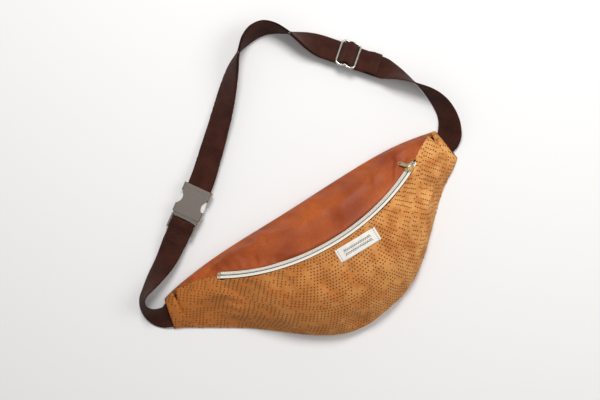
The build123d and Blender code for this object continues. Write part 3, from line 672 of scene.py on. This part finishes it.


def punch_tree():
    """Round holes over a panel, drawn as discs of painted shade, in staggered rows, left out where a
    lacy pattern leaves gaps.
    """
    tree = bpy.data.node_groups.new("punched_holes", "GeometryNodeTree")
    face = tree.interface
    face.new_socket("Panel", in_out="INPUT", socket_type="NodeSocketGeometry")
    for name in ("Width", "Height", "Pitch", "Hole radius", "Lace size", "Blank share", "Seed"):
        face.new_socket(name, in_out="INPUT", socket_type="NodeSocketFloat")
    face.new_socket("Material", in_out="INPUT", socket_type="NodeSocketMaterial")
    face.new_socket("Geometry", in_out="OUTPUT", socket_type="NodeSocketGeometry")
    given = add_node(tree, "NodeGroupInput").outputs

    def count(length):
        shared = add_node(tree, MATH, {0: length, 1: given["Pitch"]}, operation="DIVIDE").outputs[0]
        return add_node(tree, "FunctionNodeFloatToInt", {0: shared}).outputs[0]

    sizes = {"Size X": given["Width"], "Size Y": given["Height"],
             "Vertices X": count(given["Width"]), "Vertices Y": count(given["Height"])}
    grid = add_node(tree, "GeometryNodeMeshGrid", sizes).outputs["Mesh"]
    place = add_node(tree, "GeometryNodeInputPosition").outputs[0]
    parts = add_node(tree, "ShaderNodeSeparateXYZ", {"Vector": place}).outputs
    half_height = add_node(tree, MATH, {0: given["Height"], 1: 0.5}, operation="MULTIPLY").outputs[0]
    up = add_node(tree, MATH, {0: parts["Y"], 1: half_height}, operation="ADD").outputs[0]
    # Every other row is shifted by half the pitch
    row = add_node(tree, MATH, {0: up, 1: given["Pitch"]}, operation="DIVIDE").outputs[0]
    whole = add_node(tree, MATH, {0: row}, operation="ROUND").outputs[0]
    odd = add_node(tree, MATH, {0: whole, 1: 2.0}, operation="MODULO").outputs[0]
    half = add_node(tree, MATH, {0: odd, 1: given["Pitch"]}, operation="MULTIPLY").outputs[0]
    shift = add_node(tree, MATH, {0: half, 1: 0.5}, operation="MULTIPLY").outputs[0]
    sideways = add_node(tree, MATH, {0: parts["X"], 1: shift}, operation="ADD").outputs[0]
    staggered = add_node(tree, "ShaderNodeCombineXYZ", {"X": sideways, "Y": up}).outputs[0]
    # Each hole strays a little
    stray = add_node(tree, NOISE, {"Vector": place, "Scale": STRAY_SCALE}).outputs["Color"]
    centred = add_node(tree, VECTOR, {0: stray, 1: (0.5, 0.5, 0.5)}, operation="SUBTRACT").outputs[0]
    wander = add_node(tree, VECTOR, {0: centred, "Scale": STRAY}, operation="SCALE").outputs[0]
    spot = add_node(tree, VECTOR, {0: staggered, 1: wander}, operation="ADD").outputs[0]
    level = add_node(tree, VECTOR, {0: spot, 1: (1.0, 1.0, 0.0)}, operation="MULTIPLY").outputs[0]
    pattern = {"Vector": level, "W": given["Seed"], "Scale": given["Lace size"], "Detail": 1.0}
    lace = add_node(tree, NOISE, pattern, noise_dimensions="4D").outputs["Fac"]
    moved = add_node(tree, PLACE, {"Geometry": grid, "Position": level}).outputs[0]
    # The panel's own place and facing at that spot of its flat cloth
    flat = add_node(tree, READ, {"Name": "flat"}, data_type="FLOAT_VECTOR").outputs["Attribute"]
    found = []
    for value in (place, add_node(tree, "GeometryNodeInputNormal").outputs[0]):
        search = {"Mesh": given["Panel"], "UV Map": flat, "Sample UV": place}
        sample = add_node(tree, "GeometryNodeSampleUVSurface", search, data_type="FLOAT_VECTOR")
        tree.links.new(value, sample.inputs["Value"])
        found.append(sample.outputs)
    kept = {"Geometry": moved, "Name": "lace", "Value": lace}
    laced = add_node(tree, STORE, kept, data_type="FLOAT", domain="POINT").outputs[0]
    lace_value = add_node(tree, READ, {"Name": "lace"}, data_type="FLOAT").outputs["Attribute"]
    limit = {0: lace_value, 1: given["Blank share"]}
    blank = add_node(
        tree, "FunctionNodeCompare", limit, data_type="FLOAT", operation="LESS_THAN"
    ).outputs[0]
    off = add_node(tree, LOGIC, {0: found[0]["Is Valid"]}, operation="NOT").outputs[0]
    gone = add_node(tree, LOGIC, {0: blank, 1: off}, operation="OR").outputs[0]
    points = add_node(tree, "GeometryNodeMeshToPoints", {"Mesh": laced}).outputs["Points"]
    kept = {"Geometry": points, "Name": "facing", "Value": found[1]["Value"]}
    faced = add_node(tree, STORE, kept, data_type="FLOAT_VECTOR", domain="POINT").outputs[0]
    kept = {"Geometry": faced, "Name": "gone", "Value": gone}
    marked = add_node(tree, STORE, kept, data_type="BOOLEAN", domain="POINT").outputs[0]
    seated = add_node(tree, PLACE, {"Geometry": marked, "Position": found[0]["Value"]}).outputs[0]
    gone_value = add_node(tree, READ, {"Name": "gone"}, data_type="BOOLEAN").outputs["Attribute"]
    choice = {"Geometry": seated, "Selection": gone_value}
    left = add_node(tree, "GeometryNodeDeleteGeometry", choice).outputs[0]
    facing = add_node(tree, READ, {"Name": "facing"}, data_type="FLOAT_VECTOR").outputs["Attribute"]
    turned = add_node(tree, AIM, {"Vector": facing}, axis="Z").outputs[0]
    outline = {"Vertices": 10, "Radius": given["Hole radius"]}
    disc = add_node(tree, "GeometryNodeMeshCircle", outline, fill_type="NGON").outputs["Mesh"]
    raised = add_node(tree, TRANSFORM, {"Geometry": disc, "Translation": PROUD}).outputs[0]
    set_out = {"Points": left, "Instance": raised, "Rotation": turned}
    finish_tree(tree, add_node(tree, INSTANCE, set_out).outputs[0], given["Material"])
    return tree


def punch(name, panel_face, settings, material):
    """Holes over a panel as a piece of its own, just proud of its face: discs of painted shade."""
    holder = bpy.data.objects.new(name, panel_face)
    bpy.context.scene.collection.objects.link(holder)
    tree = punch_tree()
    modifier = holder.modifiers.new("holes", "NODES")
    modifier.node_group = tree
    for key, value in settings.items():
        modifier[input_key(tree, key)] = value
    modifier[input_key(tree, "Material")] = material
    settle(holder)
    return finish_piece(holder, BAG, material)


punch(
    "front_perforations",
    front_face,
    {"Width": 0.345, "Height": 0.112, "Pitch": 0.0031, "Hole radius": 0.00072,
     "Lace size": 110.0, "Blank share": 0.44, "Seed": 4.0},
    hole_shade_paint,
)


# ---- Zip ---------------------------------------------------------------------------------------
ZIP_RADIUS = 0.2004
ZIP_FROM, ZIP_TO = -36.0, 33.8
COIL_MIDDLE = 1.55 * MM    # the coils' middles, each side of the zip's line
COIL_OVER = 1.0 * MM
STITCH_MIDDLE = 3.1 * MM
STITCH_OVER = 0.62 * MM
ZIP_STEPS = 240
TAPE_THICK = 0.6 * MM
TAPE_BOW = 0.18 * MM
TOOTH = (0.95 * MM, 1.5 * MM, 1.2 * MM)
TOOTH_PITCH = 1.4 * MM
zip_middle = Vector(joints["zip_slide"]["pos_m"])
zip_normal = Vector(joints["zip_slide"]["axis"])
zip_up = zip_normal.cross(Vector((1, 0, 0)))


def on_zip(angle, reach=0.0, over=0.0):
    """A place by the zip's line: that far outside its arc, and that far out of its plane."""
    turn = math.radians(angle)
    way = Vector((1, 0, 0)) * math.sin(turn) - zip_up * math.cos(turn)
    return zip_middle + way * (ZIP_RADIUS + reach) + zip_normal * over


def zip_tape(name, reaches, node):
    """Woven tape, its four long edges between two reaches from the zip's line."""
    steps = 180
    near, far = reaches
    across = 6
    points, flat = [], []
    for i in range(steps + 1):
        angle = ZIP_FROM + (ZIP_TO - ZIP_FROM) * i / steps
        for k in range(across + 1):
            reach = near + (far - near) * k / across
            bow = TAPE_BOW * math.sin(math.pi * k / across)
            points.append(on_zip(angle, reach, 0.5 * TAPE_THICK + bow))
            flat.append((math.radians(angle) * ZIP_RADIUS, reach))
    obj = new_mesh(name, points, grid_faces(steps, across, True), flat)
    skin = obj.modifiers.new("skin", "SOLIDIFY")
    skin.thickness = TAPE_THICK
    skin.offset = 1 if near > 0 else -1
    settle(obj)
    return finish_piece(obj, BAG, tape_cloth, (node,))


zip_tape("tape_lower", (0.7 * MM, 3.5 * MM), "zip_tape_lower")
zip_tape("tape_upper", (-4.4 * MM, -0.7 * MM), "zip_tape_upper")
for side, word in ((-1, "upper"), (1, "lower")):
    line, row = [], []
    for k in range(ZIP_STEPS + 1):
        angle = ZIP_FROM + (ZIP_TO - ZIP_FROM) * k / ZIP_STEPS
        line.append(on_zip(angle, side * COIL_MIDDLE, COIL_OVER))
        row.append(on_zip(angle, side * STITCH_MIDDLE, STITCH_OVER))
    row_along(
        "teeth_" + word, [line], TOOTH_PITCH, TOOTH, zip_normal,
        nylon, BAG, ("zip_coil_" + word,),
    )
    # A row of stitching holds each coil to its tape
    row_along(
        "coil_stitches_" + word, [row], 2.2 * MM, (1.5 * MM, 0.35 * MM, 0.3 * MM), zip_normal,
        plain_finish("grey_thread_" + word, "#8E857A", 0.7), BAG,
    )


# ---- Webbing -----------------------------------------------------------------------------------
HALF_WIDTH = 12.4 * MM
HALF_THICK = 0.7 * MM
SELVEDGE = 0.22 * MM       # the weft's loops stand out this far along both edges
LOOP_PITCH = 1.6 * MM
LAYER = 0.95
SLIP_END, HUMP_END = 28.0, 13.0
HUMP_RISE = 8.1


def flat_frame(at, heading, roll):
    """Origin, way along the webbing, way to its left edge, and way out of its outer face."""
    turn, tilt = math.radians(heading), math.radians(roll)
    along = Vector((math.cos(turn), math.sin(turn), 0))
    level = Vector((0, 0, 1)).cross(along)
    across = level * math.cos(tilt) + Vector((0, 0, 1)) * math.sin(tilt)
    return Vector(at), along, across, along.cross(across)


BUCKLE = flat_frame((-86.4, 116.5, 8.2), 34.5, -10.0)
ADJUSTER = flat_frame((127.0, 163.5, 7.3), -50.0, -22.0)


def in_frame(frame_used, along, out):
    """A place that far along the frame's webbing and that far out of its face."""
    origin, way, _, normal = frame_used
    return origin + way * along + normal * out


def fixed_place(frame_used, along, roll):
    """A route's point on the frame's own line."""
    return (*in_frame(frame_used, along, 0), roll)


def route_stations(route, offsets, first_way, last_way):
    """Place, way across and way out at each point of a route, millimetres."""
    places = [Vector(point[:3]) for point in route]
    ways = [first_way] + [b - a for a, b in zip(places, places[2:])] + [last_way]
    found = []
    for place, way, point, offset in zip(places, ways, route, offsets):
        way = Vector(way).normalized()
        level = Vector((0, 0, 1)).cross(way).normalized()
        out = way.cross(level)
        turn = math.radians(point[3])
        across = level * math.cos(turn) + out * math.sin(turn)
        normal = way.cross(across)
        found.append((place + normal * offset, across, normal))
    return found


def smoothed(stations, steps=14):
    """Catmull-Rom through the stations."""
    found = []
    last = len(stations) - 1
    for i in range(last):
        four = [stations[min(max(k, 0), last)] for k in (i - 1, i, i + 1, i + 2)]
        for step in range(steps):
            t = step / steps
            weights = (
                -0.5 * t**3 + t**2 - 0.5 * t,
                1.5 * t**3 - 2.5 * t**2 + 1,
                -1.5 * t**3 + 2 * t**2 + 0.5 * t,
                0.5 * t**3 - 0.5 * t**2,
            )
            parts = []
            for part in range(3):
                total = Vector((0, 0, 0))
                for weight, station in zip(weights, four):
                    total += station[part] * weight
                parts.append(total)
            found.append((parts[0], parts[1].normalized(), parts[2].normalized()))
    found.append(stations[-1])
    return found


def path_stations(frame_used, corners, roundness):
    """Stations of webbing that bends only in its frame's own long plane."""
    points = [Vector(corners[0])]
    for before, corner, after in zip(corners, corners[1:], corners[2:]):
        before, corner, after = Vector(before), Vector(corner), Vector(after)
        back, on = before - corner, after - corner
        reach = min(roundness, 0.5 * back.length, 0.5 * on.length)
        enter, leave = corner + back.normalized() * reach, corner + on.normalized() * reach
        for k in range(9):
            t = k / 8
            points.append(enter * (1 - t) ** 2 + corner * (2 * t * (1 - t)) + leave * t**2)
    points.append(Vector(corners[-1]))
    fine = [points[0]]
    for a, b in zip(points, points[1:]):
        pieces = max(1, int((b - a).length / 0.9))
        fine += [a.lerp(b, (k + 1) / pieces) for k in range(pieces)]
    found = []
    _, way, across, normal = frame_used
    for k, point in enumerate(fine):
        ahead = fine[min(k + 1, len(fine) - 1)] - fine[max(k - 1, 0)]
        ahead.normalize()
        out = normal * ahead.x - way * ahead.y
        found.append((in_frame(frame_used, point.x, point.y), across.copy(), out))
    return found


def strap(name, stations, body, nodes):
    """Webbing through stations given in millimetres, its edges looped by the weft."""
    widths = 14
    points, faces, flat = [], [], []
    run, before = 0.0, None
    for place, across, normal in stations:
        place = place * MM
        if before is not None:
            run += (place - before).length
        before = place
        loops = SELVEDGE * math.sin(2 * math.pi * run / LOOP_PITCH)
        half = HALF_WIDTH + loops
        ring = []
        for k in range(widths + 1):
            share = 2 * k / widths - 1
            thin = HALF_THICK * (1 - 0.55 * abs(share) ** 6)
            ring.append((share * half, thin))
        for k in range(widths, -1, -1):
            share = 2 * k / widths - 1
            thin = HALF_THICK * (1 - 0.55 * abs(share) ** 6)
            ring.append((share * half, -thin))
        for wide, out in ring:
            points.append(place + across * wide + normal * out)
            flat.append((run, wide))
    size = 2 * (widths + 1)
    count = len(stations)
    for i in range(count - 1):
        for k in range(size):
            a, b = i * size + k, i * size + (k + 1) % size
            faces.append([b, a, a + size, b + size])
    faces.append(list(range(size)))
    faces.append([(count - 1) * size + k for k in range(size)][::-1])
    obj = new_mesh(name, points, faces, flat)
    ends = len(obj.data.polygons)
    for polygon in (obj.data.polygons[ends - 1], obj.data.polygons[ends - 2]):
        polygon.use_smooth = False
    return finish_piece(obj, body, webbing, nodes)


SHORT_WAY = Vector((-0.966, 0.262, 0))
short_route = [
    (-164.55, 28.72, 2.95, 0.0), (-168.9, 29.9, 2.95, 0.0), (-173.6, 32.2, 4.0, -14.0),
    (-178.4, 36.6, 8.4, -38.0), (-183.0, 43.4, 11.7, -58.0), (-184.4, 51.0, 12.8, -68.0),
    (-181.2, 57.8, 12.8, -70.0), (-175.2, 62.0, 12.6, -67.0), (-167.4, 65.8, 11.8, -57.0),
    (-159.4, 69.7, 10.6, -47.0), (-150.6, 74.0, 9.6, -38.0), (-141.6, 78.8, 9.0, -28.0),
    (-132.6, 84.6, 8.9, -18.0), fixed_place(BUCKLE, -46.1, -10.0),
]
strap(
    "short_strap",
    smoothed(route_stations(short_route, [0.0] * 13 + [0.8], SHORT_WAY, BUCKLE[1])),
    (BAG, "plug", Vector(short_route[9][:3]) * MM, Vector(short_route[13][:3]) * MM),
    ("belt_short_run",),
)

doubled_route = [
    fixed_place(BUCKLE, 18.0, -10.0), (-61.5, 134.8, 8.0, -11.0), (-51.0, 144.4, 7.6, -14.0),
    (-35.0, 159.0, 7.8, -21.0), (-18.7, 174.3, 8.9, -30.0), (-6.0, 186.8, 10.2, -38.0),
    (5.0, 198.0, 11.6, -47.0), (18.0, 210.8, 13.3, -61.0), (27.0, 219.0, 14.3, -76.0),
    (35.6, 225.4, 14.6, -90.0), (45.4, 230.4, 14.2, -106.0), (56.2, 233.0, 13.5, -116.0),
    (67.2, 231.6, 13.5, -116.0), (76.6, 225.6, 14.1, -105.0), (84.6, 216.8, 14.7, -90.0),
    (91.4, 207.4, 13.7, -70.0), (97.6, 199.2, 11.5, -50.0), (103.4, 191.8, 9.1, -33.0),
    fixed_place(ADJUSTER, -SLIP_END, -22.0),
]
SPREAD = [2.45, 1.7] + [LAYER] * 17
for side, word in ((1, "upper"), (-1, "lower")):
    strap(
        "long_strap_" + word,
        smoothed(route_stations(doubled_route, [side * d for d in SPREAD], BUCKLE[1], ADJUSTER[1])),
        BAG, ("belt_" + word + "_run",),
    )
    strap(
        "slip_strap_" + word,
        path_stations(ADJUSTER, [(-SLIP_END, side * LAYER), (-HUMP_END, side * LAYER)], 1.0),
        (BAG, "adjuster", in_frame(ADJUSTER, -SLIP_END, 0) * MM, in_frame(ADJUSTER, -HUMP_END, 0) * MM),
        ("belt_slip_" + word,),
    )
    foot = HUMP_RISE + side * LAYER * 0.414    # the two layers keep their gap round the corner
    strap(
        "hump_strap_" + word,
        path_stations(
            ADJUSTER,
            [(-HUMP_END, side * LAYER), (-foot, side * LAYER), (0, HUMP_RISE + side * LAYER * 1.414),
             (foot, side * LAYER), (HUMP_END, side * LAYER)],
            3.0,
        ),
        "adjuster", ("belt_hump_" + word,),
    )

right_route = [
    fixed_place(ADJUSTER, SLIP_END, -22.0), fixed_place(ADJUSTER, SLIP_END + 10, -22.0),
    (156.4, 127.4, 8.6, -38.0), (161.0, 120.6, 10.8, -54.0), (165.6, 113.4, 12.3, -68.0),
    (170.2, 105.6, 13.1, -80.0), (174.6, 97.4, 13.4, -93.0), (178.4, 89.2, 13.2, -105.0),
    (181.2, 80.6, 12.4, -116.0), (182.8, 71.4, 11.6, -125.0), (182.9, 62.0, 10.6, -132.0),
    (181.4, 53.6, 9.0, -141.0), (178.6, 46.4, 6.6, -153.0), (175.0, 40.4, 4.0, -169.0),
    (170.4, 36.4, 2.95, -180.0), (166.0, 35.4, 2.95, -180.0),
]
RIGHT_WAY = (-0.975, -0.223, 0)
right_offsets = [-LAYER, -LAYER, -0.6, -0.3] + [0.0] * 12
strap(
    "right_strap",
    smoothed(route_stations(right_route, right_offsets, ADJUSTER[1], RIGHT_WAY)),
    BAG, ("belt_right_run",),
)
strap(
    "slip_strap_right",
    path_stations(ADJUSTER, [(HUMP_END, -LAYER), (SLIP_END, -LAYER)], 1.0),
    (BAG, "adjuster", in_frame(ADJUSTER, SLIP_END, 0) * MM, in_frame(ADJUSTER, HUMP_END, 0) * MM),
    ("belt_slip_right",),
)
strap(
    "tail_strap",
    path_stations(
        ADJUSTER,
        [(HUMP_END, LAYER), (19.5, LAYER), (24.0, 2.85), (33.25, 2.85), (33.25, LAYER), (25.0, LAYER)],
        0.95,
    ),
    "adjuster", ("belt_tail",),
)


def half_ring(middle, radius, first, last, steps=14):
    """Points round a bar, from one angle to another."""
    turns = [math.radians(first + (last - first) * k / steps) for k in range(steps + 1)]
    return [(middle + radius * math.cos(t), radius * math.sin(t)) for t in turns]


strap(
    "socket_loop_strap",
    path_stations(BUCKLE, [(18.0, 2.45)] + half_ring(12.4, 2.45, 90, 270) + [(18.0, -2.45)], 0.3),
    BAG, ("belt_socket_loop",),
)
strap(
    "plug_loop_strap",
    path_stations(
        BUCKLE,
        [(-46.0, -0.8), (-31.4, -0.8), (-27.1, -2.25)] + half_ring(-23.3, 2.25, -90, 90)
        + [(-27.1, 2.25), (-31.4, 0.8), (-46.0, 0.8)],
        0.5,
    ),
    "plug", ("belt_plug_loop",),
)


# ---- Stitching ---------------------------------------------------------------------------------
def strap_line(frame_used, places, lift):
    """A line over a strap's outer face: places are along and across, millimetres."""
    origin, way, across, normal = frame_used
    base = origin + normal * lift
    corners = [base + way * a + across * b for a, b in places]
    found = []
    for corner, following in zip(corners, corners[1:]):
        found += [corner.lerp(following, k / 12) * MM for k in range(12)]
    return found + [corners[-1] * MM]


STITCH = (1.9 * MM, 0.5 * MM, 0.4 * MM)
STITCH_PITCH = 2.4 * MM
BOX = [(-44.5, -10.5), (-33.0, -10.5), (-33.0, 10.5), (-44.5, 10.5), (-44.5, -10.5)]
CROSS = [[(-44.5, -10.5), (-33.0, 10.5)], [(-44.5, 10.5), (-33.0, -10.5)]]
box_lines = [strap_line(BUCKLE, BOX, 1.6)] + [strap_line(BUCKLE, line, 1.6) for line in CROSS]
row_along(
    "box_stitches", box_lines, STITCH_PITCH, STITCH, BUCKLE[3],
    brown_thread, "plug",
)
hem_lines = [strap_line(ADJUSTER, [(at, -10.8), (at, 10.8)], 3.62) for at in (26.5, 31.5)]
row_along(
    "hem_stitches", hem_lines, STITCH_PITCH, STITCH, ADJUSTER[3],
    brown_thread, "adjuster",
)

front_tree = BVHTree.FromObject(front, bpy.context.evaluated_depsgraph_get())


def laid_on(tree, x, y, lift):
    """The place that far off a panel's face under x, y."""
    place, normal, _, _ = tree.ray_cast(Vector((x, y, 0.2)), Vector((0, 0, -1)))
    return place + normal * lift


label_low, label_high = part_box("woven_label")
LABEL_THICK = 0.35 * MM
LABEL_LIFT = 0.5 * MM
LABEL_BOW = 0.35 * MM
LABEL_ROWS = 12
LABEL_COLUMNS = 36


def woven_label():
    """Damask label sewn along its short ends, lifted a little between them."""
    points, flat = [], []
    for i in range(LABEL_COLUMNS + 1):
        for r in range(LABEL_ROWS + 1):
            x = label_low[0] + (label_high[0] - label_low[0]) * i / LABEL_COLUMNS
            y = label_low[1] + (label_high[1] - label_low[1]) * r / LABEL_ROWS
            lift = LABEL_LIFT + LABEL_BOW * math.sin(math.pi * i / LABEL_COLUMNS)
            points.append(laid_on(front_tree, x, y, lift))
            flat.append((x, y))
    faces = grid_faces(LABEL_COLUMNS, LABEL_ROWS)
    obj = new_mesh("woven_label_cloth", points, faces, flat)
    skin = obj.modifiers.new("skin", "SOLIDIFY")
    skin.thickness = LABEL_THICK
    settle(obj)
    return finish_piece(obj, BAG, label_cloth, ("woven_label",))


woven_label()
label_length = label_high[0] - label_low[0]
label_width = label_high[1] - label_low[1]
SEAM_INSET = 2.4 * MM
label_lines = []
for x in (label_low[0] + SEAM_INSET, label_high[0] - SEAM_INSET):
    places = [label_low[1] + label_width * k / 10 for k in range(11)]
    label_lines.append([laid_on(front_tree, x, y, 0.8 * MM) for y in places])
row_along(
    "label_stitches", label_lines, 2.2 * MM, (1.7 * MM, 0.45 * MM, 0.4 * MM), (0, 0, 1),
    brown_thread, BAG,
)
# The label's woven figure is a plain band of zigzags
figure = []
for level in (0.36, 0.64):
    band = []
    for k in range(31):
        x = label_low[0] + 8 * MM + (label_length - 16 * MM) * k / 30
        y = label_low[1] + label_width * level + (1.2 * MM if k % 2 else -1.2 * MM)
        band.append(laid_on(front_tree, x, y, 0.95 * MM))
    figure.append(band)
row_along(
    "label_figure", figure, 0.9 * MM, (0.95 * MM, 0.5 * MM, 0.3 * MM), (0, 0, 1),
    brown_thread, BAG,
)


# ---- Metal -------------------------------------------------------------------------------------
def cast_part(node, material, edge):
    """A CAD part's own finish, its edges broken by tumbling."""
    part = frame["nodes"][node]
    part.data.materials.clear()
    part.data.materials.append(material)
    if edge:
        broken = part.modifiers.new("broken_edges", "BEVEL")
        broken.width = edge
        broken.segments = 2
        broken.limit_method = "ANGLE"
        broken.angle_limit = math.radians(40)
        broken.harden_normals = False


for node, material, edge in (
    ("buckle_socket", zinc, 0.35 * MM),
    ("buckle_plug", zinc, 0.3 * MM),
    ("buckle_bar", zinc, 0),
    ("claw_left", bright_zinc, 0.25 * MM),
    ("claw_right", bright_zinc, 0.25 * MM),
    ("claw_pins", spring_wire, 0),
    ("claw_spring", spring_wire, 0),
    ("adjuster_slide", nickel, 0),
    ("zip_slider_body", gold, 0.12 * MM),
    ("zip_pull_tab", gold, 0.12 * MM),
    ("zip_top_stops", gold, 0),
    ("zip_bottom_stop", gold, 0),
):
    cast_part(node, material, edge)

# ---- Floor, light and camera -------------------------------------------------------------------
CAMERA_UP = Vector((0.514, 0.858, 0.0))
VIEW_CENTRE = Vector((0.0088, 0.0618, 0.0))
CAMERA_HEIGHT = 1.3
LENS = 75.7
WINDOW_AT = VIEW_CENTRE + CAMERA_UP * 0.75 + Vector((0, 0, 1.15))
FILL_AT = VIEW_CENTRE + Vector((0.9, -0.35, 0.9))


def soft_light(name, place, size, power, code):
    """A round lamp turned to the object."""
    lamp = bpy.data.lights.new(name, "AREA")
    lamp.shape = "DISK"
    lamp.size = size
    lamp.energy = power
    lamp.color = colour(code)[:3]
    made = bpy.data.objects.new(name, lamp)
    made.location = place
    made.rotation_euler = (VIEW_CENTRE - Vector(place)).to_track_quat("-Z", "Y").to_euler()
    bpy.context.scene.collection.objects.link(made)


def studio():
    """A white floor, two soft lamps, a pale world and the camera straight above."""
    floor = new_mesh("floor", [(-3, -3, 0), (3, -3, 0), (3, 3, 0), (-3, 3, 0)], [(0, 1, 2, 3)])
    floor.data.materials.append(plain_finish("white_paper_sweep", "#EDECEB", 0.9))
    world = bpy.data.worlds.new("studio")
    bpy.context.scene.world = world
    world.use_nodes = True
    backdrop = world.node_tree.nodes["Background"]
    backdrop.inputs["Color"].default_value = colour("#FBFBFB")
    backdrop.inputs["Strength"].default_value = 0.40
    soft_light("window_bank", WINDOW_AT, 0.5, 12.5, "#FFFFFF")
    soft_light("fill_card", FILL_AT, 0.8, 4.5, "#FFFFFF")
    lens = bpy.data.cameras.new("camera")
    lens.lens = LENS
    camera = bpy.data.objects.new("camera", lens)
    camera.location = VIEW_CENTRE + Vector((0, 0, CAMERA_HEIGHT))
    right = CAMERA_UP.cross(Vector((0, 0, 1)))
    camera.rotation_euler = Matrix((right, CAMERA_UP, Vector((0, 0, 1)))).transposed().to_euler()
    bpy.context.scene.collection.objects.link(camera)
    bpy.context.scene.camera = camera
    bpy.context.scene.view_settings.view_transform = "Standard"


studio()
